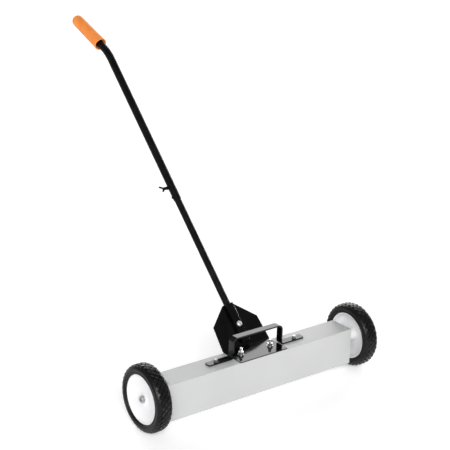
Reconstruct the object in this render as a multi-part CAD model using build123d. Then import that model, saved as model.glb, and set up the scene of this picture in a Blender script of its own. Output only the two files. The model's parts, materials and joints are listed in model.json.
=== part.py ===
from build123d import *
import os
from math import cos, radians, sin, tan

# Rolling magnetic nail sweeper. Millimetres. X runs along the axle, +Y points back towards the user,
# +Z is up and the floor is z = 0. Every piece is drawn with the axle at y = 0; export() then moves the
# whole sweeper along Y, so that its origin is on the floor under the middle of its box.

AXLE_Y = -404.77        # where the axle ends up once the sweeper is centred on its box

# ---- wheels ----
WHEEL_R = 89.0          # 7 inch wheel
TYRE_WIDTH = 44.0
TYRE_INNER_R = 65.0
CROWN_HALF = 15.0
SHOULDER_R = 80.0
TRACK = 687.0           # wheel centre to wheel centre
HUB_WIDTH = 36.0
HUB_RIM_T = 3.5
HUB_WEB_T = 4.0
HUB_BOSS_R = 15.0
HUB_DISH = 9.0          # how far the outer disc sinks from rim to boss
BOSS_OUT = 10.5         # from the wheel's middle plane to the outer face of its boss
AXLE_R = 6.0
BUSH_R = 8.5
RUN_FIT = 0.05          # radial clearance of a turning or sliding fit
FACE_GAP = 0.5          # side play between the wheel and what is fixed beside it
AXLE_WASHER_T = 1.2

# ---- housing ----
HOUSE_LENGTH = 610.0
HOUSE_DEPTH = 77.0
HOUSE_BOTTOM = 24.0
HOUSE_TOP = 127.0
SHEET = 1.5
LIP = 10.0
BEND_R = 2.5
COVER_T = 1.0
END_PLATE_T = 2.0
END_FLANGE = 16.0
END_SCREW_X = 295.0
END_SCREW_Y = 22.0
RIVET_R = 1.6
RIVET_HEAD_R = 3.0
RIVET_PITCH = 110.0
RIVETS_PER_SIDE = 5

# ---- handle bracket ----
BRACKET_T = 2.5
HANDLE_ANGLE = 44.5     # the handle's slope above the floor
FLANGE_HALF = 78.0
WING_HALF = 73.0
WING_SIDE = 71.0        # from the fold to the widest corners, along the plate
WING_TOP = 122.0
WING_TOP_HALF = 17.0
BRACKET_BOLT_X = 48.5
CHANNEL_START = 8.0     # from the fold to the closed end of the pressed channel
TUBE_BOLT_AT = 59.0     # distance of the tube bolt from the fold, along the plate
BACKING = (200.0, 62.0, 3.0)

# ---- handle ----
LOWER_R = 9.5
LOWER_BORE_R = 8.3
LOWER_START = 13.0
LOWER_END = 566.0
UPPER_R = 11.0
UPPER_BORE_R = 9.8
UPPER_START = 454.0
BUTTON_AT = 462.5
CLAMP_AT = 493.5
TUBE_CORNER = 952.0     # where the straight tube and the grip's axis would meet
GRIP_ANGLE = 21.0
TUBE_BEND_R = 120.0
GRIP_START = 42.0       # from the corner to the grip's open end
GRIP_LENGTH = 148.0
GRIP_MOUTH_R = 19.0
GRIP_TIP_R = 17.4
GRIP_HOLLOW_R = 15.8
GRIP_HOLLOW = 34.0

# ---- release handle and magnets ----
STRIP_W = 20.0
STRIP_T = 4.0
LIFT_HALF = 82.5        # outer faces of the two legs
LIFT_TOP = 186.0
LIFT_FOOT_END = 159.0
LIFT_FOOT_BEND_R = 7.0  # to the middle of the strip
LIFT_TOP_BEND_R = 12.0
REST_GAP = 0.3
ROD_X = 131.0
ROD_R = 3.0
ROD_NUT = (10.0, 5.0)   # across flats and height
ROD_WASHER = (6.0, 1.0) # outer radius and thickness
CHANNEL = (540.0, 64.0, 24.0)
CHANNEL_T = 2.5
CHANNEL_BOTTOM = 28.0
BLOCK = (112.0, 57.0, 19.0)
BLOCK_X = (-205.0, -57.0, 57.0, 205.0)

M8_R = 4.0
M8_HEX = 13.0
M8_NUT_H = 6.5
M8_WASHER = (8.5, 1.6)  # outer radius and thickness
M8_HOLE_R = 4.3

flange_top = HOUSE_TOP + BRACKET_T
fold_y = HOUSE_DEPTH / 2
handle_plane = Plane(
    origin=(0, fold_y, flange_top),
    x_dir=(1, 0, 0),
    z_dir=(0, -sin(radians(HANDLE_ANGLE)), cos(radians(HANDLE_ANGLE))),
)
tube_height = -BRACKET_T / 2            # the tube's axis lies in the middle of the bracket plate
wheel_face = TRACK / 2 + BOSS_OUT + FACE_GAP
end_inside = HOUSE_LENGTH / 2 - END_PLATE_T
foot_top = HOUSE_TOP + REST_GAP + STRIP_T
web_top = CHANNEL_BOTTOM + CHANNEL[2]
bush_bottom = HOUSE_TOP - 8


def along_x(radius, x_from, x_to, y=0.0, z=0.0):
    """A round bar along X between two places."""
    bar = Cylinder(radius, abs(x_to - x_from), rotation=(0, 90, 0))
    return Pos((x_from + x_to) / 2, y, z) * bar


def upright(radius, x, y, z_from, z_to):
    """A round bar along Z between two heights."""
    return Pos(x, y, (z_from + z_to) / 2) * Cylinder(radius, z_to - z_from)


def block(x, y, z):
    """A box from its lowest to its highest value on each axis."""
    size = (x[1] - x[0], y[1] - y[0], z[1] - z[0])
    return Pos((x[0] + x[1]) / 2, (y[0] + y[1]) / 2, (z[0] + z[1]) / 2) * Box(*size)


def hex_nut(x, y, z, across=M8_HEX, height=M8_NUT_H, bore=M8_R):
    """A hexagon nut standing on z."""
    nut = extrude(RegularPolygon(across / 2, 6, major_radius=False), height)
    return Pos(x, y, z) * (nut - upright(bore, 0, 0, -1, height + 1))


def washer(x, y, z, size=M8_WASHER, bore=M8_R):
    outer_r, thick = size
    return upright(outer_r, x, y, z, z + thick) - upright(bore, x, y, z - 1, z + thick + 1)


def both_sides(make):
    """The same piece at +x and at -x, as one group of two solids."""
    return [make(1), make(-1)]


def on_handle(shape):
    """Moves a shape drawn with x across, y up the handle and z out of the bracket plate."""
    return shape.moved(handle_plane.location)


def tube_span(outer_r, bore_r, start, end):
    """A straight tube on the handle's axis."""
    length = end - start
    ring = Cylinder(outer_r, length, rotation=(90, 0, 0))
    if bore_r:
        ring -= Cylinder(bore_r, length + 2, rotation=(90, 0, 0))
    return Pos(0, (start + end) / 2, tube_height) * ring


# ---------------------------------------------------------------- housing

def housing_shell():
    half_d = HOUSE_DEPTH / 2
    outer = block((-HOUSE_LENGTH / 2, HOUSE_LENGTH / 2), (-half_d, half_d), (HOUSE_BOTTOM, HOUSE_TOP))
    outer = fillet(outer.edges().filter_by(Axis.X), BEND_R)
    cavity = block(
        (-HOUSE_LENGTH / 2 - 1, HOUSE_LENGTH / 2 + 1),
        (-half_d + SHEET, half_d - SHEET),
        (HOUSE_BOTTOM + SHEET, HOUSE_TOP - SHEET),
    )
    cavity = fillet(cavity.edges().filter_by(Axis.X), BEND_R - SHEET)
    mouth = block(
        (-HOUSE_LENGTH / 2 - 1, HOUSE_LENGTH / 2 + 1),
        (-half_d + LIP, half_d - LIP),
        (HOUSE_BOTTOM - 1, HOUSE_BOTTOM + SHEET + 1),
    )
    shell = outer - cavity - mouth
    for side in (1, -1):
        shell -= upright(M8_HOLE_R, side * BRACKET_BOLT_X, 0, HOUSE_TOP - 5, HOUSE_TOP + 1)
        shell -= upright(ROD_R + 3, side * ROD_X, 0, HOUSE_TOP - 5, HOUSE_TOP + 1)
        for y in (END_SCREW_Y, -END_SCREW_Y):
            shell -= upright(2.0, side * END_SCREW_X, y, HOUSE_TOP - 5, HOUSE_TOP + 1)
    for x, y in rivet_places():
        shell -= countersunk(x, y)
        shell -= upright(RIVET_R, x, y, HOUSE_BOTTOM - 1, HOUSE_BOTTOM + 3)
    return shell


def countersunk(x, y):
    """A rivet's cone, flush with the underside of the lip."""
    cone = Cone(RIVET_HEAD_R, RIVET_R, SHEET)
    return Pos(x, y, HOUSE_BOTTOM + SHEET / 2) * cone


def rivet_places():
    first = -(RIVETS_PER_SIDE - 1) / 2 * RIVET_PITCH
    row_y = HOUSE_DEPTH / 2 - LIP / 2 - SHEET / 2
    return [(first + i * RIVET_PITCH, side * row_y) for i in range(RIVETS_PER_SIDE) for side in (1, -1)]


def bottom_cover():
    half_x = HOUSE_LENGTH / 2 - END_PLATE_T
    half_y = HOUSE_DEPTH / 2 - SHEET - 0.2
    floor_z = HOUSE_BOTTOM + SHEET
    cover = block((-half_x, half_x), (-half_y, half_y), (floor_z, floor_z + COVER_T))
    cover = fillet(cover.edges().filter_by(Axis.X).group_by(Axis.Z)[0], COVER_T * 0.8)
    for x, y in rivet_places():
        cover -= upright(RIVET_R, x, y, floor_z - 1, floor_z + 3)
    return cover


def cover_rivets():
    top = HOUSE_BOTTOM + SHEET + COVER_T
    rivets = []
    for x, y in rivet_places():
        shank = upright(RIVET_R, x, y, HOUSE_BOTTOM + SHEET / 2, top + 0.2)
        tail = upright(2.4, x, y, top, top + 0.7)
        rivets.append(countersunk(x, y) + shank + tail)
    return rivets


def end_plate(side):
    """A pan pressed into the end of the housing, with a flange along its top and its two sides."""
    half_y = HOUSE_DEPTH / 2 - SHEET
    bottom = HOUSE_BOTTOM + SHEET + COVER_T
    top = HOUSE_TOP - SHEET
    x_out = HOUSE_LENGTH / 2
    pan = block((x_out - END_FLANGE, x_out), (-half_y, half_y), (bottom, top))
    pan = fillet(pan.edges().filter_by(Axis.X).group_by(Axis.Z)[-1], BEND_R - SHEET)
    pan -= block(
        (x_out - END_FLANGE - 1, x_out - END_PLATE_T),
        (-half_y + END_PLATE_T, half_y - END_PLATE_T),
        (bottom - 1, top - END_PLATE_T),
    )
    pan -= along_x(AXLE_R + 0.1, x_out - 5, x_out + 1, 0, WHEEL_R)
    for y in (END_SCREW_Y, -END_SCREW_Y):
        pan -= upright(2.0, END_SCREW_X, y, top - 5, top + 1)
    return pan if side > 0 else pan.mirror(Plane.YZ)


def end_screws():
    screws = []
    for x in (END_SCREW_X, -END_SCREW_X):
        for y in (END_SCREW_Y, -END_SCREW_Y):
            shank = upright(2.0, x, y, HOUSE_TOP - SHEET - END_PLATE_T - 4, HOUSE_TOP)
            head = upright(3.8, x, y, HOUSE_TOP, HOUSE_TOP + 2.0)
            head = fillet(head.edges().group_by(Axis.Z)[-1], 1.5)
            slot = block((x - 2.2, x + 2.2), (y - 0.45, y + 0.45), (HOUSE_TOP + 1.0, HOUSE_TOP + 3))
            cross = block((x - 0.45, x + 0.45), (y - 2.2, y + 2.2), (HOUSE_TOP + 1.0, HOUSE_TOP + 3))
            screws.append(shank + head - slot - cross)
    return screws


# ---------------------------------------------------------------- wheels

def axle_bolt(side):
    """A bolt with a round socket head: the wheel turns on it and it is nutted inside the housing."""
    head_x = wheel_face + AXLE_WASHER_T
    bolt = along_x(AXLE_R, HOUSE_LENGTH / 2 - 19, head_x, 0, WHEEL_R)
    head = along_x(9.0, head_x, head_x + 6.5, 0, WHEEL_R)
    head = fillet(head.edges().group_by(Axis.X)[-1], 1.2)
    socket = extrude(Plane.YZ.offset(head_x + 2.0) * RegularPolygon(4.0, 6, major_radius=False), 6)
    bolt = bolt + head - Pos(0, 0, WHEEL_R) * socket
    return bolt if side > 0 else bolt.mirror(Plane.YZ)


def axle_ring(outer_r, x_from, x_to):
    """A plain ring on both axle bolts."""
    def ring(side):
        body = along_x(outer_r, x_from, x_to, 0, WHEEL_R)
        body -= along_x(AXLE_R, x_from - 1, x_to + 1, 0, WHEEL_R)
        return body if side > 0 else body.mirror(Plane.YZ)
    return both_sides(ring)


def axle_nuts():
    def nut(side):
        x = HOUSE_LENGTH / 2 - END_PLATE_T - 1.6 - 10
        body = extrude(Plane.YZ.offset(x) * RegularPolygon(9.0, 6, major_radius=False), 10)
        body = Pos(0, 0, WHEEL_R) * body - along_x(AXLE_R, x - 1, x + 11, 0, WHEEL_R)
        return body if side > 0 else body.mirror(Plane.YZ)
    return both_sides(nut)


def turned(points, centre_x, side):
    """Revolves an outline of (distance along the axle outwards, radius) about the axle."""
    outline = make_face(Polyline([(x, r) for x, r in points], close=True))
    ring = revolve(Plane.XY * outline, Axis.X)
    ring = Pos(centre_x, 0, WHEEL_R) * ring
    return ring if side > 0 else ring.mirror(Plane.YZ)


def hub(side):
    half = HUB_WIDTH / 2
    rim_in = TYRE_INNER_R - HUB_RIM_T
    web_out = half - HUB_DISH
    points = [
        (-half, BUSH_R),
        (-half, HUB_BOSS_R - 1.5),
        (-half + 1.5, HUB_BOSS_R),
        (web_out - HUB_WEB_T, HUB_BOSS_R + 2),
        (web_out - HUB_WEB_T + 5, rim_in - 6),
        (web_out - HUB_WEB_T + 3, rim_in),
        (-half + 1, rim_in + 0.5),
        (-half, TYRE_INNER_R),
        (half, TYRE_INNER_R),
        (half, rim_in + 1),
        (web_out + 5.5, rim_in - 5),
        (web_out + 3.2, rim_in - 18),
        (web_out + 0.6, HUB_BOSS_R + 10),
        (web_out, HUB_BOSS_R + 3),
        (BOSS_OUT, HUB_BOSS_R),
        (BOSS_OUT, BUSH_R),
    ]
    return turned(points, TRACK / 2, side)


def wheel_bush(side):
    half = HUB_WIDTH / 2
    inner = AXLE_R + RUN_FIT
    outline = [(-half, inner), (-half, BUSH_R), (BOSS_OUT, BUSH_R), (BOSS_OUT, inner)]
    return turned(outline, TRACK / 2, side)


def tyre(side):
    half = TYRE_WIDTH / 2
    seat = HUB_WIDTH / 2
    points = [
        (-seat, TYRE_INNER_R),
        (-half + 1, TYRE_INNER_R + 2.5),
        (-half, TYRE_INNER_R + 7),
        (-half, SHOULDER_R - 2),
        (-half + 2.5, SHOULDER_R + 3.5),
        (-CROWN_HALF, WHEEL_R - 1),
        (-CROWN_HALF + 5, WHEEL_R),
        (CROWN_HALF - 5, WHEEL_R),
        (CROWN_HALF, WHEEL_R - 1),
        (half - 2.5, SHOULDER_R + 3.5),
        (half, SHOULDER_R - 2),
        (half, TYRE_INNER_R + 7),
        (half - 1, TYRE_INNER_R + 2.5),
        (seat, TYRE_INNER_R),
    ]
    return turned(points, TRACK / 2, side)


# ---------------------------------------------------------------- handle bracket

def handle_bracket():
    """One folded plate: a foot on the housing, and a polygon plate with a channel for the tube."""
    a = radians(HANDLE_ANGLE)
    reach = WING_TOP + 20
    top = (fold_y + reach * cos(a), flange_top + reach * sin(a))
    back = (top[0] + BRACKET_T * sin(a), top[1] - BRACKET_T * cos(a))
    heel = (fold_y + BRACKET_T * tan(a / 2), HOUSE_TOP)
    profile = Polyline(
        [(-fold_y, HOUSE_TOP), (-fold_y, flange_top), (fold_y, flange_top), top, back, heel], close=True
    )
    face = make_face(Plane.YZ * profile)
    sheet = extrude(face, FLANGE_HALF, both=True, dir=(1, 0, 0))
    across = sheet.edges().filter_by(Axis.X)
    sheet = fillet(across.sort_by_distance((0, fold_y, flange_top))[:1], 3.0)
    across = sheet.edges().filter_by(Axis.X)
    sheet = fillet(across.sort_by_distance((0, heel[0], heel[1]))[:1], 3.0 + BRACKET_T)

    outline = Polyline(
        [
            (-FLANGE_HALF, -8), (-FLANGE_HALF, 0), (-WING_HALF, WING_SIDE), (-WING_TOP_HALF, WING_TOP),
            (WING_TOP_HALF, WING_TOP), (WING_HALF, WING_SIDE), (FLANGE_HALF, 0), (FLANGE_HALF, -8),
        ],
        close=True,
    )
    wings = on_handle(extrude(make_face(outline), 12, both=True))
    foot = block((-FLANGE_HALF, FLANGE_HALF), (-fold_y, fold_y - 6), (HOUSE_TOP, flange_top))
    foot = fillet(foot.edges().filter_by(Axis.Z).group_by(Axis.Y)[0], 2)
    plate = sheet & (wings + foot)

    bore = LOWER_R + 0.2
    wall = bore + BRACKET_T
    low = -BRACKET_T
    slot = block((-bore, bore), (CHANNEL_START + BRACKET_T, WING_TOP + 30), (low - 1, tube_height + bore))
    channel = block((-wall, wall), (CHANNEL_START, WING_TOP), (low, tube_height + wall))
    crown = channel.edges().group_by(Axis.Z)[-1]
    rounded = crown.filter_by(Axis.Y) + crown.filter_by(Axis.X).group_by(Axis.Y)[0]
    channel = fillet(rounded, 3.0)
    plate = plate - on_handle(slot) + on_handle(channel - slot)
    bolt_hole = Pos(0, TUBE_BOLT_AT, 0) * Cylinder(M8_HOLE_R, 80)
    plate -= on_handle(bolt_hole)
    for side in (1, -1):
        plate -= upright(M8_HOLE_R, side * BRACKET_BOLT_X, 0, HOUSE_TOP - 1, flange_top + 1)
    return plate


def backing_plate():
    length, depth, thick = BACKING
    top = HOUSE_TOP - SHEET
    plate = block((-length / 2, length / 2), (-depth / 2, depth / 2), (top - thick, top))
    plate = fillet(plate.edges().filter_by(Axis.Z), 8)
    for side in (1, -1):
        plate -= upright(M8_HOLE_R, side * BRACKET_BOLT_X, 0, top - 6, top + 1)
    return plate


def bracket_bolts():
    """Bolts put in from inside the housing, with their threaded ends standing up."""
    seat = HOUSE_TOP - SHEET - BACKING[2]

    def bolt(side):
        x = side * BRACKET_BOLT_X
        head = extrude(RegularPolygon(M8_HEX / 2, 6, major_radius=False), 5.3)
        shank = upright(M8_R, x, 0, seat, HOUSE_TOP + 21)
        shank = chamfer(shank.edges().group_by(Axis.Z)[-1], 0.9)
        return Pos(x, 0, seat - 5.3) * head + shank
    return both_sides(bolt)


def tube_bolt():
    """A domed bolt through the channel and the tube."""
    face = tube_height + LOWER_R + 0.2 + BRACKET_T
    shank = Pos(0, TUBE_BOLT_AT, 0) * upright(M8_R, 0, 0, tube_height - LOWER_R - 10, face)
    head = Pos(0, TUBE_BOLT_AT, 0) * upright(7.8, 0, 0, face, face + 4.6)
    head = fillet(head.edges().group_by(Axis.Z)[-1], 3.6)
    return on_handle(shank + head)


def tube_nut():
    """The nut behind the tube, on a saddle that fits the tube's back."""
    base = tube_height - LOWER_R
    nut = extrude(RegularPolygon(M8_HEX / 2, 6, major_radius=False), M8_NUT_H)
    nut = Pos(0, TUBE_BOLT_AT, base - 1.0 - M8_NUT_H) * nut
    saddle = block((-7, 7), (TUBE_BOLT_AT - 8, TUBE_BOLT_AT + 8), (base - 1.0, base + 2.5))
    saddle -= tube_span(LOWER_R, 0, TUBE_BOLT_AT - 10, TUBE_BOLT_AT + 10)
    saddle -= Pos(0, TUBE_BOLT_AT, 0) * Cylinder(M8_R, 60)
    nut -= Pos(0, TUBE_BOLT_AT, 0) * Cylinder(M8_R, 60)
    return on_handle(nut + saddle)


# ---------------------------------------------------------------- handle

def lower_tube():
    tube = tube_span(LOWER_R, LOWER_BORE_R, LOWER_START, LOWER_END)
    tube -= Pos(0, TUBE_BOLT_AT, 0) * Cylinder(M8_R, 60)
    tube -= Pos(0, BUTTON_AT, tube_height) * along_x(4.0 + RUN_FIT, -20, 0)
    return on_handle(tube)


def tube_guide_plug():
    """The plastic plug in the top of the lower tube, which guides it inside the upper one."""
    flange = tube_span(UPPER_BORE_R - RUN_FIT, 4.0, LOWER_END, LOWER_END + 8)
    stem = tube_span(LOWER_BORE_R, 4.0, LOWER_END - 22, LOWER_END)
    return on_handle(flange + stem)


def snap_button():
    """A round button that stands out of both tubes until it is pressed in."""
    button = along_x(4.0, -(UPPER_R + 3.6), -6.4)
    button = fillet(button.edges().group_by(Axis.X)[0], 2.2)
    return on_handle(Pos(0, BUTTON_AT, tube_height) * button)


def button_spring():
    """A bent leaf inside the lower tube that pushes the button out."""
    path = FilletPolyline(
        (-5.9, BUTTON_AT - 6), (-5.9, BUTTON_AT + 8), (-1.0, BUTTON_AT + 44), (5.9, BUTTON_AT + 8),
        (5.9, BUTTON_AT - 2), radius=2.2
    )
    leaf = sweep(Plane(path @ 0, x_dir=(1, 0, 0), z_dir=path % 0) * Rectangle(0.7, 5.0), path=path)
    leaf = Pos(0, 0, tube_height) * leaf
    return on_handle(leaf)


def handle_points():
    """The upper tube's corner, and unit steps before and after it, in the handle plane's Y and Z."""
    a = radians(HANDLE_ANGLE)
    g = radians(GRIP_ANGLE)
    origin = (
        fold_y - tube_height * sin(a),
        flange_top + tube_height * cos(a),
    )
    corner = (origin[0] + TUBE_CORNER * cos(a), origin[1] + TUBE_CORNER * sin(a))
    return origin, corner, (cos(a), sin(a)), (cos(g), sin(g))


def upper_tube():
    origin, corner, before, after = handle_points()
    start = (0, origin[0] + UPPER_START * before[0], origin[1] + UPPER_START * before[1])
    run = GRIP_START + GRIP_LENGTH - 12
    end = (0, corner[0] + run * after[0], corner[1] + run * after[1])
    path = FilletPolyline(start, (0, corner[0], corner[1]), end, radius=TUBE_BEND_R)
    section = Circle(UPPER_R) - Circle(UPPER_BORE_R)
    tube = sweep(Plane(path @ 0, z_dir=path % 0) * section, path=path)
    holes = Pos(0, BUTTON_AT, tube_height) * along_x(4.0 + 0.3, -20, 0)
    holes += Pos(0, CLAMP_AT, tube_height) * along_x(3.0 + 0.3, -20, 0)
    return tube - on_handle(holes)


def clamp_boss():
    """The threaded boss welded to the side of the upper tube."""
    boss = Pos(0, CLAMP_AT, tube_height) * along_x(5.2, -(UPPER_R + 5.0), -4)
    boss -= tube_span(UPPER_R, 0, CLAMP_AT - 12, CLAMP_AT + 12)
    boss -= Pos(0, CLAMP_AT, tube_height) * along_x(3.0 + RUN_FIT, -25, 0)
    return on_handle(boss)


def wing_screw():
    """The clamp screw: its end meets the lower tube and its two ears are turned by hand."""
    shank = along_x(3.0, -28, -(LOWER_R + REST_GAP))
    collar = along_x(4.4, -29, -20)
    ears = Sketch()
    for side in (1, -1):
        ear = Polyline(
            [(-24.5, side), (-26.5, side * 4.6), (-33.5, side * 11.5), (-37.2, side * 11.5),
             (-37.2, side * 8.2), (-30, side)], close=True
        )
        ears += make_face(ear)
    wing = fillet(extrude(ears, 1.4, both=True).edges().filter_by(Axis.Z), 1.2)
    wing = wing.rotate(Axis.X, -24.5)
    return on_handle(Pos(0, CLAMP_AT, tube_height) * (shank + collar + wing))


def grip():
    """A soft sleeve, closed at its far end, with a hollow round the tube at its open end."""
    _, corner, _, after = handle_points()
    length = GRIP_LENGTH
    outline = Polyline(
        [
            (GRIP_HOLLOW_R, 0), (GRIP_MOUTH_R - 0.6, 0), (GRIP_MOUTH_R, 1.0), (GRIP_TIP_R, length),
            (0, length), (0, length - 10), (UPPER_R, length - 10), (UPPER_R, GRIP_HOLLOW),
            (GRIP_HOLLOW_R - 1, GRIP_HOLLOW - 3),
        ],
        close=True,
    )
    sleeve = revolve(make_face(outline), Axis.Y)
    sleeve = fillet(sleeve.edges().group_by(Axis.Y)[-1], 12.0)
    place = Plane(
        origin=(0, corner[0] + GRIP_START * after[0], corner[1] + GRIP_START * after[1]),
        x_dir=(1, 0, 0),
        z_dir=(0, -after[1], after[0]),
    )
    return sleeve.moved(place.location)


# ---------------------------------------------------------------- release handle and magnets

def lift_handle():
    """A flat strip bent up into a handle, with two long feet lying on the housing."""
    foot_z = HOUSE_TOP + REST_GAP + STRIP_T / 2
    leg_x = LIFT_HALF - STRIP_T / 2
    bar_z = LIFT_TOP - STRIP_T / 2
    path = FilletPolyline(
        (-LIFT_FOOT_END, 0, foot_z), (-leg_x, 0, foot_z), (-leg_x, 0, bar_z),
        (leg_x, 0, bar_z), (leg_x, 0, foot_z), (LIFT_FOOT_END, 0, foot_z),
        radius=(LIFT_FOOT_BEND_R, LIFT_TOP_BEND_R, LIFT_TOP_BEND_R, LIFT_FOOT_BEND_R)
    )
    strip = sweep(Plane(path @ 0, x_dir=(0, 1, 0), z_dir=path % 0) * Rectangle(STRIP_W, STRIP_T), path=path)
    strip = fillet(strip.edges().filter_by(Axis.Z).group_by(Axis.X)[0], 5)
    strip = fillet(strip.edges().filter_by(Axis.Z).group_by(Axis.X)[-1], 5)
    for side in (1, -1):
        strip -= upright(ROD_R, side * ROD_X, 0, HOUSE_TOP, HOUSE_TOP + 10)
    return strip


def lift_rods():
    def rod(side):
        bottom = web_top - CHANNEL_T - ROD_NUT[1] - 2
        body = upright(ROD_R, side * ROD_X, 0, bottom, foot_top + ROD_WASHER[1] + ROD_NUT[1] + 1.0)
        return chamfer(body.edges().group_by(Axis.Z)[-1], 0.6)
    return both_sides(rod)


def rod_bushes():
    """Nylon guides for the rods, flanged under the housing's top sheet."""
    def bush(side):
        x = side * ROD_X
        body = upright(ROD_R + 3, x, 0, bush_bottom, HOUSE_TOP)
        body += upright(ROD_R + 6, x, 0, HOUSE_TOP - SHEET - 3, HOUSE_TOP - SHEET)
        return body - upright(ROD_R + RUN_FIT, x, 0, bush_bottom - 1, HOUSE_TOP + 1)
    return both_sides(bush)


def magnet_channel():
    length, width, height = CHANNEL
    body = block(
        (-length / 2, length / 2), (-width / 2, width / 2), (CHANNEL_BOTTOM, CHANNEL_BOTTOM + height)
    )
    body = fillet(body.edges().filter_by(Axis.X).group_by(Axis.Z)[-1], 3)
    body -= block(
        (-length / 2 - 1, length / 2 + 1),
        (-width / 2 + CHANNEL_T, width / 2 - CHANNEL_T),
        (CHANNEL_BOTTOM - 1, CHANNEL_BOTTOM + height - CHANNEL_T),
    )
    for side in (1, -1):
        body -= upright(ROD_R, side * ROD_X, 0, CHANNEL_BOTTOM, CHANNEL_BOTTOM + height + 1)
    return body


def magnet_blocks():
    length, width, height = BLOCK
    top = web_top - CHANNEL_T
    return [block((x - length / 2, x + length / 2), (-width / 2, width / 2), (top - height, top))
            for x in BLOCK_X]


def rod_nut(x, z):
    return hex_nut(x, 0, z, *ROD_NUT, ROD_R)


def carriage_nuts():
    nuts = []
    for side in (1, -1):
        nuts.append(rod_nut(side * ROD_X, web_top))
        nuts.append(rod_nut(side * ROD_X, web_top - CHANNEL_T - ROD_NUT[1]))
    return nuts


# ---------------------------------------------------------------- the assembly

def export(name, shape):
    solids = shape if isinstance(shape, list) else [shape]
    placed = [solid.moved(Location((0, AXLE_Y, 0))) for solid in solids]
    whole = placed[0] if len(placed) == 1 else Compound(children=placed)
    export_step(whole, f"parts/{name}.step")


os.makedirs("parts", exist_ok=True)

pieces = {
    "housing_shell": housing_shell(),
    "bottom_cover": bottom_cover(),
    "cover_rivets": cover_rivets(),
    "end_plate_left": end_plate(-1),
    "end_plate_right": end_plate(1),
    "end_screws": end_screws(),
    "axle_bolt_left": axle_bolt(-1),
    "axle_bolt_right": axle_bolt(1),
    "axle_washers": axle_ring(10.5, wheel_face, wheel_face + AXLE_WASHER_T),
    "axle_spacers": axle_ring(9.0, HOUSE_LENGTH / 2, TRACK / 2 - HUB_WIDTH / 2 - FACE_GAP),
    "axle_inner_washers": axle_ring(11.0, end_inside - 1.6, end_inside),
    "axle_nuts": axle_nuts(),
    "hub_left": hub(-1),
    "hub_right": hub(1),
    "wheel_bush_left": wheel_bush(-1),
    "wheel_bush_right": wheel_bush(1),
    "tyre_left": tyre(-1),
    "tyre_right": tyre(1),
    "backing_plate": backing_plate(),
    "handle_bracket": handle_bracket(),
    "bracket_bolts": bracket_bolts(),
    "bracket_washers": both_sides(lambda side: washer(side * BRACKET_BOLT_X, 0, flange_top)),
    "bracket_nuts": both_sides(lambda side: hex_nut(side * BRACKET_BOLT_X, 0, flange_top + M8_WASHER[1])),
    "tube_bolt": tube_bolt(),
    "tube_nut": tube_nut(),
    "lower_tube": lower_tube(),
    "tube_guide_plug": tube_guide_plug(),
    "snap_button": snap_button(),
    "button_spring": button_spring(),
    "upper_tube": upper_tube(),
    "clamp_boss": clamp_boss(),
    "wing_screw": wing_screw(),
    "grip": grip(),
    "lift_handle": lift_handle(),
    "lift_rods": lift_rods(),
    "lift_washers": both_sides(lambda side: washer(side * ROD_X, 0, foot_top, ROD_WASHER, ROD_R)),
    "lift_nuts": both_sides(lambda side: rod_nut(side * ROD_X, foot_top + ROD_WASHER[1])),
    "rod_bushes": rod_bushes(),
    "magnet_channel": magnet_channel(),
    "magnet_blocks": magnet_blocks(),
    "carriage_nuts": carriage_nuts(),
}
for name, shape in pieces.items():
    export(name, shape)
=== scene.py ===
import json
from math import cos, pi, radians, sin

import bpy
from mathutils import Matrix, Vector


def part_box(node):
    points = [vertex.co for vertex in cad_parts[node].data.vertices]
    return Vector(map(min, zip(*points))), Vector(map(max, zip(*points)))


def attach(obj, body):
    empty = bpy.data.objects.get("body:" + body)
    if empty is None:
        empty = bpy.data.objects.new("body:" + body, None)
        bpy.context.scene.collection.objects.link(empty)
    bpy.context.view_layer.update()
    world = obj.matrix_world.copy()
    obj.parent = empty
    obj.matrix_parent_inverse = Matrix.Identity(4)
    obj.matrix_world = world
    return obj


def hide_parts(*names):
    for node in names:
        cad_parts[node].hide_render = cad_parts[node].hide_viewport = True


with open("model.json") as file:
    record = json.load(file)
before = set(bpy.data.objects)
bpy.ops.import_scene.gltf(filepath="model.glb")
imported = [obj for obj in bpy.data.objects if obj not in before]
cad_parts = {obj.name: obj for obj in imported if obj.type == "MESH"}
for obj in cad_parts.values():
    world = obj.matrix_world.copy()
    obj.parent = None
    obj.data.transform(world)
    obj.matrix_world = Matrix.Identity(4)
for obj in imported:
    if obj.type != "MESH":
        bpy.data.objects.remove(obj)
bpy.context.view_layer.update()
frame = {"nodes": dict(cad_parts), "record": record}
nodes = frame["nodes"]
bodies = {node: body for body, held in frame["record"]["behaviour"]["bodies"].items() for node in held}
slots = {part["node"]: part["material_slot"] for part in frame["record"]["subparts"]}

# ---------------------------------------------------------------- the sweeper's own measures, in metres

MM = 0.001
WHEEL_R = 89.0 * MM
AXLE_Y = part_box("tyre_left")[0].y + WHEEL_R
AXLE_Z = WHEEL_R
WHEEL_X = 343.5 * MM            # from the sweeper's middle to the middle of each wheel
BRACKET_BOLT_X = 48.5 * MM      # from the sweeper's middle to each of the bracket's two bolts
SAME_SPOT = 0.01 * MM           # corners closer than this are merged


# ---------------------------------------------------------------- finishes

def new_finish(name, colour, rough, metal=0.0):
    """A Principled material with its colour, roughness and metal on its own sockets."""
    finish = bpy.data.materials.new(name)
    finish.use_nodes = True
    shader = finish.node_tree.nodes["Principled BSDF"]
    shader.inputs["Base Color"].default_value = (*colour, 1.0)
    shader.inputs["Roughness"].default_value = rough
    shader.inputs["Metallic"].default_value = metal
    return finish, shader


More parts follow.
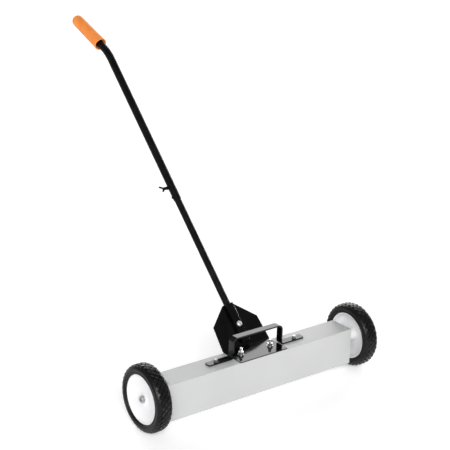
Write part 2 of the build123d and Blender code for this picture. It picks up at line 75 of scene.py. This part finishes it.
def grain(finish, kind, scale, detail=3.0, stretch=(1, 1, 1)):
    """A pattern on Object coordinates; kind is NOISE, CELLS or CREASES. Returns the value it gives."""
    tree = finish.node_tree
    place = tree.nodes.new("ShaderNodeTexCoord")
    mapping = tree.nodes.new("ShaderNodeMapping")
    mapping.inputs["Scale"].default_value = stretch
    tree.links.new(place.outputs["Object"], mapping.inputs["Vector"])
    if kind == "NOISE":
        pattern = tree.nodes.new("ShaderNodeTexNoise")
        pattern.inputs["Detail"].default_value = detail
        value = pattern.outputs["Fac"]
    else:
        pattern = tree.nodes.new("ShaderNodeTexVoronoi")
        pattern.feature = "F1" if kind == "CELLS" else "DISTANCE_TO_EDGE"
        value = pattern.outputs["Distance"]
    pattern.inputs["Scale"].default_value = scale
    tree.links.new(mapping.outputs["Vector"], pattern.inputs["Vector"])
    return value


def spread(finish, value, low, high):
    """Turns a pattern's value into numbers from low to high."""
    remap = finish.node_tree.nodes.new("ShaderNodeMapRange")
    remap.inputs["From Min"].default_value, remap.inputs["From Max"].default_value = 0.35, 0.65
    remap.inputs["To Min"].default_value, remap.inputs["To Max"].default_value = low, high
    finish.node_tree.links.new(value, remap.inputs["Value"])
    return remap.outputs["Result"]


def roughen(finish, shader, value, low, high):
    """The roughness runs from low to high with a pattern."""
    finish.node_tree.links.new(spread(finish, value, low, high), shader.inputs["Roughness"])


def tint(finish, shader, value, dark, light, at=(0.35, 0.65)):
    """The base colour runs between two shades with a pattern."""
    ramp = finish.node_tree.nodes.new("ShaderNodeValToRGB")
    ramp.color_ramp.elements[0].position, ramp.color_ramp.elements[1].position = at
    ramp.color_ramp.elements[0].color = (*dark, 1.0)
    ramp.color_ramp.elements[1].color = (*light, 1.0)
    finish.node_tree.links.new(value, ramp.inputs["Fac"])
    finish.node_tree.links.new(ramp.outputs["Color"], shader.inputs["Base Color"])


def relief(finish, shader, value, depth, strength):
    """Raises the surface by a pattern, depth in metres."""
    bump = finish.node_tree.nodes.new("ShaderNodeBump")
    bump.inputs["Strength"].default_value = strength
    bump.inputs["Distance"].default_value = depth
    finish.node_tree.links.new(value, bump.inputs["Height"])
    finish.node_tree.links.new(bump.outputs["Normal"], shader.inputs["Normal"])


def grey_powder_coat():
    finish, shader = new_finish("grey_powder_coat", (0.5, 0.505, 0.5), 0.42)
    clouds = grain(finish, "NOISE", 5.0, 2.0)
    tint(finish, shader, clouds, (0.485, 0.49, 0.488), (0.52, 0.525, 0.522))
    peel = grain(finish, "NOISE", 620.0, 2.0)
    roughen(finish, shader, peel, 0.36, 0.5)
    relief(finish, shader, peel, 0.06 * MM, 0.6)
    shader.inputs["Specular IOR Level"].default_value = 0.25
    return finish


def black_gloss_paint():
    finish, shader = new_finish("black_gloss_paint", (0.008, 0.008, 0.009), 0.16)
    clouds = grain(finish, "NOISE", 30.0, 3.0)
    tint(finish, shader, clouds, (0.0015, 0.0015, 0.0018), (0.0035, 0.0035, 0.004))
    roughen(finish, shader, clouds, 0.07, 0.13)
    peel = grain(finish, "NOISE", 380.0, 1.0)
    relief(finish, shader, peel, 0.02 * MM, 0.4)
    shader.inputs["Specular IOR Level"].default_value = 0.27
    return finish


def black_satin_paint():
    finish, shader = new_finish("black_satin_paint", (0.008, 0.008, 0.008), 0.4)
    clouds = grain(finish, "NOISE", 40.0, 3.0)
    tint(finish, shader, clouds, (0.0015, 0.0015, 0.0015), (0.004, 0.004, 0.004))
    roughen(finish, shader, clouds, 0.34, 0.48)
    relief(finish, shader, grain(finish, "NOISE", 700.0, 2.0), 0.04 * MM, 0.5)
    shader.inputs["Specular IOR Level"].default_value = 0.13
    return finish


def zinc_plate():
    finish, shader = new_finish("zinc_plate", (0.72, 0.73, 0.73), 0.26, 1.0)
    spangle = grain(finish, "CELLS", 420.0)
    tint(finish, shader, spangle, (0.62, 0.63, 0.64), (0.8, 0.8, 0.79), (0.1, 0.7))
    smear = grain(finish, "NOISE", 160.0, 4.0)
    roughen(finish, shader, smear, 0.18, 0.38)
    relief(finish, shader, smear, 0.04 * MM, 0.4)
    return finish


def dull_zinc():
    finish, shader = new_finish("dull_zinc", (0.78, 0.78, 0.77), 0.5, 0.8)
    smear = grain(finish, "NOISE", 200.0, 4.0)
    tint(finish, shader, smear, (0.7, 0.7, 0.69), (0.84, 0.84, 0.83))
    roughen(finish, shader, smear, 0.4, 0.56)
    return finish


def rolled_steel():
    finish, shader = new_finish("rolled_steel", (0.42, 0.42, 0.43), 0.42, 1.0)
    streaks = grain(finish, "NOISE", 60.0, 5.0, (0.12, 1.0, 1.0))
    tint(finish, shader, streaks, (0.34, 0.34, 0.35), (0.5, 0.5, 0.51))
    roughen(finish, shader, streaks, 0.34, 0.52)
    relief(finish, shader, streaks, 0.05 * MM, 0.4)
    return finish


def blued_steel():
    finish, shader = new_finish("blued_steel", (0.12, 0.13, 0.16), 0.35, 1.0)
    heat = grain(finish, "NOISE", 90.0, 2.0)
    tint(finish, shader, heat, (0.09, 0.1, 0.14), (0.18, 0.17, 0.17))
    roughen(finish, shader, heat, 0.3, 0.42)
    return finish


def drawn_aluminium():
    finish, shader = new_finish("drawn_aluminium", (0.75, 0.75, 0.76), 0.32, 1.0)
    lines = grain(finish, "NOISE", 300.0, 3.0, (1.0, 0.2, 1.0))
    tint(finish, shader, lines, (0.68, 0.68, 0.69), (0.8, 0.8, 0.81))
    roughen(finish, shader, lines, 0.26, 0.4)
    return finish


def white_hub_plastic():
    finish, shader = new_finish("white_hub_plastic", (0.82, 0.82, 0.83), 0.38)
    flow = grain(finish, "NOISE", 18.0, 3.0)
    tint(finish, shader, flow, (0.79, 0.79, 0.81), (0.85, 0.85, 0.855))
    skin = grain(finish, "NOISE", 900.0, 2.0)
    roughen(finish, shader, skin, 0.32, 0.46)
    relief(finish, shader, skin, 0.03 * MM, 0.4)
    shader.inputs["Subsurface Weight"].default_value = 0.08
    shader.inputs["Subsurface Radius"].default_value = (0.004, 0.004, 0.004)
    return finish


def natural_nylon():
    finish, shader = new_finish("natural_nylon", (0.68, 0.66, 0.58), 0.4)
    flow = grain(finish, "NOISE", 120.0, 3.0)
    tint(finish, shader, flow, (0.63, 0.61, 0.53), (0.73, 0.71, 0.64))
    relief(finish, shader, flow, 0.04 * MM, 0.3)
    return finish


def tyre_rubber():
    finish, shader = new_finish("tyre_rubber", (0.012, 0.012, 0.013), 0.55)
    bloom = grain(finish, "NOISE", 24.0, 5.0)
    tint(finish, shader, bloom, (0.003, 0.003, 0.0034), (0.008, 0.0079, 0.0077))
    fine = grain(finish, "NOISE", 800.0, 3.0)
    roughen(finish, shader, bloom, 0.26, 0.4)
    relief(finish, shader, fine, 0.12 * MM, 0.6)
    shader.inputs["Specular IOR Level"].default_value = 0.2
    return finish


def orange_foam():
    finish, shader = new_finish("orange_foam", (0.9, 0.27, 0.035), 0.7)
    cells = grain(finish, "CELLS", 900.0)
    blush = grain(finish, "NOISE", 45.0, 3.0)
    tint(finish, shader, blush, (0.86, 0.235, 0.028), (0.93, 0.3, 0.045))
    roughen(finish, shader, blush, 0.62, 0.78)
    relief(finish, shader, cells, 0.18 * MM, 0.7)
    shader.inputs["Sheen Weight"].default_value = 0.15
    return finish


def fired_ferrite():
    finish, shader = new_finish("fired_ferrite", (0.03, 0.03, 0.032), 0.6, 0.2)
    pore_creases_and_shade = grain(finish, "CREASES", 260.0)
    # the creases between the pores are painted darker: painted shade in the same creases that the bump sinks
    tint(finish, shader, pore_creases_and_shade, (0.018, 0.018, 0.019), (0.045, 0.045, 0.048), (0.0, 0.3))
    relief(finish, shader, pore_creases_and_shade, 0.1 * MM, 0.5)
    return finish


FINISHES = {
    "grey_paint": grey_powder_coat(),
    "black_paint": black_gloss_paint(),
    "black_satin": black_satin_paint(),
    "zinc": zinc_plate(),
    "dull_zinc": dull_zinc(),
    "bare_steel": rolled_steel(),
    "spring_steel": blued_steel(),
    "aluminium": drawn_aluminium(),
    "hub_plastic": white_hub_plastic(),
    "nylon": natural_nylon(),
    "tyre_rubber": tyre_rubber(),
    "grip_foam": orange_foam(),
    "ferrite": fired_ferrite(),
}

# nodes that look different from the rest of their slot
OWN_LOOK = {
    "lower_tube": "black_satin",
    "upper_tube": "black_satin",
    "clamp_boss": "black_satin",
    "wing_screw": "black_satin",
    "snap_button": "black_satin",
    "end_screws": "grey_paint",
}

for node_name, cad_piece in nodes.items():
    cad_piece.data.materials.clear()
    cad_piece.data.materials.append(FINISHES[OWN_LOOK.get(node_name, slots[node_name])])


# ---------------------------------------------------------------- ways of working

def only(piece):
    """Makes one piece the only one selected, and the active one."""
    bpy.ops.object.select_all(action="DESELECT")
    piece.select_set(True)
    bpy.context.view_layer.objects.active = piece


def added(name):
    """Names the primitive just added, with its place and turn put into its mesh."""
    piece = bpy.context.active_object
    piece.name = name
    bpy.ops.object.transform_apply(location=True, rotation=True, scale=True)
    return piece


def pick(piece, test):
    """Goes into edit mode with only the faces selected whose normals pass a test."""
    only(piece)
    bpy.ops.object.mode_set(mode="EDIT")
    bpy.ops.mesh.select_mode(type="FACE")
    bpy.ops.mesh.select_all(action="DESELECT")
    bpy.ops.object.mode_set(mode="OBJECT")
    for face in piece.data.polygons:
        face.select = test(face.normal)
    bpy.ops.object.mode_set(mode="EDIT")


def leave():
    """Goes back from edit mode."""
    bpy.ops.object.mode_set(mode="OBJECT")


def modified(piece, kind, **settings):
    """Adds a modifier with these settings and applies it."""
    only(piece)
    modifier = piece.modifiers.new(kind.lower(), kind)
    for setting, value in settings.items():
        setattr(modifier, setting, value)
    bpy.ops.object.modifier_apply(modifier=modifier.name)


def tidied(piece, angle=35):
    """Merges doubles, turns the faces outwards and shades by angle."""
    only(piece)
    bpy.ops.object.mode_set(mode="EDIT")
    bpy.ops.mesh.select_all(action="SELECT")
    bpy.ops.mesh.remove_doubles(threshold=SAME_SPOT)
    bpy.ops.mesh.normals_make_consistent(inside=False)
    bpy.ops.object.mode_set(mode="OBJECT")
    bpy.ops.object.shade_smooth_by_angle(angle=radians(angle))
    return piece


def spun(name, outline, steps, axis="X"):
    """A piece turned about the X or Z axis: outline is (along the axis, radius) from corner to corner."""
    bpy.ops.object.select_all(action="DESELECT")
    bpy.ops.mesh.primitive_plane_add(size=MM, location=(0, 0, 0))
    piece = added(name)
    bpy.ops.object.mode_set(mode="EDIT")
    bpy.ops.mesh.select_mode(type="VERT")
    bpy.ops.mesh.select_all(action="SELECT")
    bpy.ops.mesh.merge(type="CENTER")
    turn = (1, 0, 0) if axis == "X" else (0, 0, 1)

    def spot(along, radius):
        return Vector((along, 0, radius)) if axis == "X" else Vector((radius, 0, along))

    bpy.ops.transform.translate(value=spot(*outline[0]))
    for before, after in zip(outline, outline[1:]):
        step = spot(*after) - spot(*before)
        bpy.ops.mesh.extrude_region_move(TRANSFORM_OT_translate={"value": step})
    bpy.ops.mesh.select_all(action="SELECT")
    bpy.ops.mesh.spin(steps=steps, angle=2 * pi, center=(0, 0, 0), axis=turn)
    bpy.ops.object.mode_set(mode="OBJECT")
    return tidied(piece)


def ringed(piece, count):
    """Repeats a piece evenly round the X axis, joined into one mesh."""
    bpy.ops.object.empty_add(location=(0, 0, 0), rotation=(2 * pi / count, 0, 0))
    turner = bpy.context.active_object
    modified(
        piece, "ARRAY", count=count, use_relative_offset=False, use_object_offset=True, offset_object=turner
    )
    bpy.data.objects.remove(turner)
    return piece


def joined(name, pieces):
    """Joins pieces into one object with this name."""
    only(pieces[0])
    for piece in pieces[1:]:
        piece.select_set(True)
    bpy.ops.object.join()
    pieces[0].name = name
    return pieces[0]


def copied(piece, name):
    """A copy with its own mesh."""
    only(piece)
    bpy.ops.object.duplicate(linked=False)
    copy = bpy.context.active_object
    copy.name = name
    return copy


def moved(piece, place=(0, 0, 0), turn=0.0, about="X"):
    """Turns a piece about the world origin and moves it, in its mesh."""
    piece.data.transform(Matrix.Translation(place) @ Matrix.Rotation(turn, 4, about))
    return piece


def mirrored(piece, name):
    """A copy on the other side of the sweeper's middle."""
    copy = copied(piece, name)
    bpy.ops.transform.mirror(orient_type="GLOBAL", constraint_axis=(True, False, False))
    bpy.ops.object.transform_apply(location=True, rotation=True, scale=True)
    return tidied(copy)


def fitted(piece, slot_name, *replaced, finish=None):
    """Gives a finished piece its finish (its slot's own unless another is named), puts it on the body of the
    first CAD node it stands for, and hides those CAD nodes.
    """
    piece.data.materials.clear()
    piece.data.materials.append(FINISHES[finish or slot_name])
    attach(piece, bodies[replaced[0]])
    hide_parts(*replaced)


# ---------------------------------------------------------------- wheels

WHEEL_STEPS = 128
LUGS = 36                       # round the tyre, in each of its rows
LUG_RADIUS = 6.6 * MM
LUG_HEIGHT = 7.0 * MM
LUG_TAPER = 0.84                # a lug's outer face against its foot
LUG_BEVEL = 0.6 * MM
# each row's distance from the tyre's middle, how far out its lugs are centred, and how far they lean
MIDDLE_ROW = (0.0, 85.3 * MM, 0.0)
INNER_ROW = (7.4 * MM, 85.1 * MM, radians(3))
OUTER_ROW = (13.87 * MM, 83.05 * MM, radians(26))


def diamond_lug(name, along, height, lean):
    """One lug of the tread: a four-sided block with a narrower top and a small bevel round it."""
    bpy.ops.object.select_all(action="DESELECT")
    bpy.ops.mesh.primitive_cylinder_add(vertices=4, radius=LUG_RADIUS, depth=LUG_HEIGHT, location=(0, 0, 0))
    lug = added(name)
    pick(lug, lambda normal: normal.z > 0.9)
    bpy.ops.transform.resize(value=(LUG_TAPER, LUG_TAPER, 1.0))
    bpy.ops.mesh.bevel(offset=LUG_BEVEL, segments=1, affect="EDGES")
    leave()
    moved(lug, turn=lean, about="Y")
    return moved(lug, (along, 0, height))


def tread_lugs():
    """Five staggered rows of diamond lugs, so that the grooves between them cross; the outer rows lean."""
    middle = diamond_lug("middle_lug", *MIDDLE_ROW)
    inner = moved(diamond_lug("inner_lug", *INNER_ROW), turn=pi / LUGS)
    outer = diamond_lug("outer_lug", *OUTER_ROW)
    lugs = [middle, inner, mirrored(inner, "other_inner_lug"), outer, mirrored(outer, "other_outer_lug")]
    return [ringed(lug, LUGS) for lug in lugs]


# the carcass from the bead to the tread, one side of it: (from the tyre's middle, radius) in millimetres
TYRE_SIDE = [
    (18.0, 64.6), (20.2, 65.8), (21.3, 67.0), (21.8, 68.6), (20.5, 69.6), (20.5, 71.4), (21.8, 72.4),
    (22.0, 75.5), (21.9, 78.2), (21.2, 80.4), (19.6, 82.6), (16.5, 84.6), (11.5, 85.7), (0.0, 85.9),
]


def treaded_tyre():
    """The smooth carcass with its lugs, round the X axis."""
    side = [(x * MM, r * MM) for x, r in TYRE_SIDE]
    outline = side + [(-x, r) for x, r in side[-2::-1]] + [side[0]]
    carcass = spun("carcass", outline, WHEEL_STEPS)
    return joined("tyre", [carcass, *tread_lugs()])


# the hub's section, outer side first: (from the wheel's middle, radius) in millimetres
HUB_OUTLINE = [
    (10.5, 8.5), (10.5, 12.8), (10.1, 13.9), (8.9, 15.6), (8.4, 17.6), (8.4, 20.5), (9.1, 28.0), (10.5, 37.0),
    (12.4, 46.0), (13.9, 52.5), (14.8, 56.2), (15.7, 58.2), (17.0, 59.4), (17.7, 60.3), (18.0, 61.5),
    (18.0, 63.6), (17.6, 64.6), (17.0, 65.0), (-17.0, 65.0), (-17.7, 64.7), (-18.0, 63.9), (-18.0, 62.4),
    (-17.5, 61.8), (-4.0, 60.4), (6.6, 60.0), (8.4, 58.6), (8.9, 56.0), (7.2, 46.0), (5.0, 30.0),
    (4.4, 20.0), (3.4, 17.4), (-15.8, 15.0), (-17.2, 14.6), (-18.0, 13.4), (-18.0, 8.5), (10.5, 8.5),
]


def dished_hub():
    """The white hub with its dished outer face, round the X axis."""
    return spun("hub", [(x * MM, r * MM) for x, r in HUB_OUTLINE], WHEEL_STEPS)


def place_wheels():
    """Puts a tyre and a hub on each end of the axle line."""
    axle = (WHEEL_X, AXLE_Y, AXLE_Z)
    tyre = moved(treaded_tyre(), axle)
    fitted(mirrored(tyre, "treaded_tyre_left"), "tyre_rubber", "tyre_left")
    tyre.name = "treaded_tyre_right"
    fitted(tidied(tyre), "tyre_rubber", "tyre_right")
    hub = moved(dished_hub(), axle)
    fitted(mirrored(hub, "dished_hub_left"), "hub_plastic", "hub_left")
    hub.name = "dished_hub_right"
    fitted(hub, "hub_plastic", "hub_right")


place_wheels()


# ---------------------------------------------------------------- edges of the sheet metal and fasteners

FLAT_WITHIN = radians(0.6)      # faces that differ by less than this become one before the rounding
SHARP_FROM = radians(40)        # edges sharper than this are rounded
SMOOTH_UP_TO = radians(32)      # edges blunter than this are shaded smooth


def softened(node, name, width, segments, finish):
    """A copy of a CAD piece with its sharp edges rounded as the real one's are."""
    piece = copied(nodes[node], name)
    piece.parent = None
    only(piece)
    bpy.ops.object.mode_set(mode="EDIT")
    bpy.ops.mesh.select_all(action="SELECT")
    bpy.ops.mesh.remove_doubles(threshold=SAME_SPOT / 2)
    bpy.ops.mesh.dissolve_limited(angle_limit=FLAT_WITHIN)
    bpy.ops.object.mode_set(mode="OBJECT")
    if piece.data.has_custom_normals:
        bpy.ops.mesh.customdata_custom_splitnormals_clear()
    modified(piece, "BEVEL", width=width, segments=segments, limit_method="ANGLE", angle_limit=SHARP_FROM)
    bpy.ops.object.shade_smooth_by_angle(angle=SMOOTH_UP_TO)
    modified(piece, "WEIGHTED_NORMAL", mode="FACE_AREA", weight=50, keep_sharp=True)
    fitted(piece, slots[node], node, finish=finish)


# each CAD node, its new piece's name, the width of the rounding in millimetres, its segments and its look
SOFTENED = [
    ("handle_bracket", "folded_handle_bracket", 0.4, 2, None),
    ("lift_handle", "bent_strip_handle", 0.5, 3, None),
    ("housing_shell", "bent_housing_shell", 0.3, 2, None),
    ("bracket_nuts", "bracket_hex_nuts", 0.5, 2, None),
    ("bracket_washers", "bracket_flat_washers", 0.3, 2, None),
    ("lift_nuts", "lift_hex_nuts", 0.5, 2, "bare_steel"),
    ("lift_washers", "lift_flat_washers", 0.3, 2, "bare_steel"),
    ("tube_nut", "tube_saddle_nut", 0.4, 2, None),
    ("axle_washers", "axle_outer_washers", 0.2, 2, "dull_zinc"),
    ("tube_bolt", "domed_tube_bolt", 0.3, 2, "dull_zinc"),
    ("axle_bolt_left", "left_axle_bolt", 0.4, 2, "bare_steel"),
    ("axle_bolt_right", "right_axle_bolt", 0.4, 2, "bare_steel"),
    ("backing_plate", "bolted_backing_plate", 0.4, 2, None),
    ("end_plate_left", "pressed_end_plate_left", 0.4, 2, None),
    ("end_plate_right", "pressed_end_plate_right", 0.4, 2, None),
    ("clamp_boss", "welded_clamp_boss", 0.4, 2, "black_satin"),
    ("wing_screw", "cast_wing_screw", 0.5, 3, "black_satin"),
]

for node_name, piece_name, width, segments, look in SOFTENED:
    softened(node_name, piece_name, width * MM, segments, look)


HEAD_HEIGHT = 5.3 * MM
HEAD_HALF_FLATS = 6.5 * MM
PITCH = 1.25 * MM
CREST = 4.0 * MM
ROOT = 3.4 * MM
ROOT_FROM, ROOT_TO = 0.45, 0.55  # where the groove's flat bottom lies in a pitch
POINT = 0.9 * MM                # the bevel on the end of the thread
THREAD_STOP = 2.2 * MM          # the last groove stays this far from the bolt's end


def threaded_bolts():
    """The two bolts that stand up through the bracket's foot, with real threads on their ends."""
    low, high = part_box("bracket_bolts")
    seat = low.z + HEAD_HEIGHT
    outline = [(seat - MM, 0.0), (seat - MM, CREST)]
    for groove in range(int((high.z - seat - THREAD_STOP) / PITCH)):
        start = seat + MM + groove * PITCH
        outline += [(start, CREST), (start + ROOT_FROM * PITCH, ROOT), (start + ROOT_TO * PITCH, ROOT)]
    outline += [(high.z - POINT, CREST), (high.z, CREST - POINT), (high.z, 0.0)]
    shank = spun("threaded_shank", outline, 36, "Z")
    bpy.ops.object.select_all(action="DESELECT")
    corner = HEAD_HALF_FLATS / cos(pi / 6)
    middle = (0, 0, low.z + HEAD_HEIGHT / 2)
    bpy.ops.mesh.primitive_cylinder_add(vertices=6, radius=corner, depth=HEAD_HEIGHT, location=middle)
    head = added("hex_head")
    pick(head, lambda normal: normal.z < -0.9)
    bpy.ops.mesh.inset(thickness=MM)
    leave()
    modified(head, "BEVEL", width=0.4 * MM, segments=2, limit_method="ANGLE", angle_limit=SHARP_FROM)
    bolt = joined("threaded_bolt", [shank, head])
    other = copied(bolt, "other_bolt")
    moved(bolt, (BRACKET_BOLT_X, AXLE_Y, 0))
    moved(other, (-BRACKET_BOLT_X, AXLE_Y, 0))
    fitted(joined("threaded_bracket_bolts", [bolt, other]), "zinc", "bracket_bolts")


threaded_bolts()


# ---------------------------------------------------------------- grip

GRIP_SLOPE = radians(21.0)      # above level
GRIP_MOUTH_R = 19.0 * MM        # the widest ring, at the end the tube goes into
# the grip's section from the end of its hole round to its domed end: (along, radius) in millimetres
GRIP_OUTLINE = [
    (138.0, 0.0), (138.0, 11.0), (34.0, 11.0), (33.0, 12.2), (31.0, 14.9), (2.0, 15.8), (0.5, 16.2),
    (0.0, 17.0), (0.0, 18.0), (0.5, 18.7), (1.6, 19.0), (4.0, 18.9), (14.0, 18.5),
    (34.0, 18.15), (62.0, 17.85), (95.0, 17.75), (125.0, 17.55), (134.0, 17.25), (140.0, 16.2), (144.4, 13.7),
    (146.7, 10.4), (147.7, 6.4), (148.0, 0.0),
]


def soft_grip():
    """The foam sleeve, open where the tube goes in and domed at its end."""
    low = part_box("grip")[0]
    grip = spun("soft_grip", [(along * MM, radius * MM) for along, radius in GRIP_OUTLINE], 72, "Z")
    moved(grip, turn=GRIP_SLOPE - pi / 2)
    mouth_y = low.y + GRIP_MOUTH_R * sin(GRIP_SLOPE)
    mouth_z = low.z + GRIP_MOUTH_R * cos(GRIP_SLOPE)
    moved(grip, (0, mouth_y, mouth_z))
    fitted(tidied(grip, angle=50), "grip_foam", "grip")


soft_grip()


# ---------------------------------------------------------------- floor, light and camera

def studio_floor():
    """White paper that glows a little, so that it stays white round the sweeper's shadow."""
    bpy.ops.object.select_all(action="DESELECT")
    bpy.ops.mesh.primitive_plane_add(size=60, location=(0, 0, 0))
    floor = bpy.context.active_object
    floor.name = "studio_floor"
    paper, shader = new_finish("studio_paper", (0.86, 0.86, 0.86), 0.9)
    shader.inputs["Specular IOR Level"].default_value = 0.1
    shader.inputs["Emission Color"].default_value = (1, 1, 1, 1)
    shader.inputs["Emission Strength"].default_value = 0.32
    floor.data.materials.append(paper)


def studio_air():
    """A white surround, brighter near the floor than overhead."""
    world = bpy.data.worlds.new("studio_air")
    bpy.context.scene.world = world
    world.use_nodes = True
    air = world.node_tree
    sky = air.nodes.new("ShaderNodeTexCoord")
    parts = air.nodes.new("ShaderNodeSeparateXYZ")
    height = air.nodes.new("ShaderNodeMapRange")
    height.inputs["From Min"].default_value, height.inputs["From Max"].default_value = 0.0, 0.8
    height.inputs["To Min"].default_value, height.inputs["To Max"].default_value = 0.5, 0.16
    air.links.new(sky.outputs["Generated"], parts.inputs["Vector"])
    air.links.new(parts.outputs["Z"], height.inputs["Value"])
    air.links.new(height.outputs["Result"], air.nodes["Background"].inputs["Strength"])
    air.nodes["Background"].inputs["Color"].default_value = (1.0, 1.0, 1.0, 1)


def softbox(name, place, aim, width, height, power):
    """A rectangular lamp; its size is in metres and its power in watts."""
    bpy.ops.object.light_add(type="AREA", location=place)
    lamp = bpy.context.active_object
    lamp.name = name
    lamp.data.shape = "RECTANGLE"
    lamp.data.size = width
    lamp.data.size_y = height
    lamp.data.energy = power
    lamp.rotation_euler = (Vector(aim) - Vector(place)).to_track_quat("-Z", "Y").to_euler()


def standing_camera(place, aim, roll, lens):
    """The view of someone who stands in front, to the left, and looks down at the sweeper."""
    bpy.ops.object.camera_add()
    camera = bpy.context.active_object
    camera.name = "studio_camera"
    camera.data.sensor_width = 36.0
    camera.data.lens = lens
    look = (Vector(aim) - Vector(place)).to_track_quat("-Z", "Y").to_matrix().to_4x4()
    camera.matrix_world = Matrix.Translation(place) @ look @ Matrix.Rotation(roll, 4, "Z")
    camera.data.clip_end = 200
    bpy.context.scene.camera = camera


studio_floor()
studio_air()
# each lamp's place, then the spot it points at
softbox("key_softbox", (-2.8, -4.6, 3.0), (0.0, AXLE_Y, 0.2), width=3.6, height=2.8, power=335)
softbox("back_softbox", (5.6, 6.6, 3.3), (0.0, AXLE_Y, 0.1), width=10.0, height=6.0, power=620)
softbox("side_strip", (3.3, AXLE_Y + 1.15, 0.75), (0.0, AXLE_Y, 0.15), width=0.6, height=1.6, power=42)
standing_camera(
    place=(-1.93125, AXLE_Y - 2.37212, 1.54998),
    aim=(0.00005, AXLE_Y + 0.1451, 0.43578),
    roll=radians(1.3507),
    lens=101.94,
)
bpy.context.scene.view_settings.view_transform = "Standard"
bpy.context.scene.view_settings.look = "None"
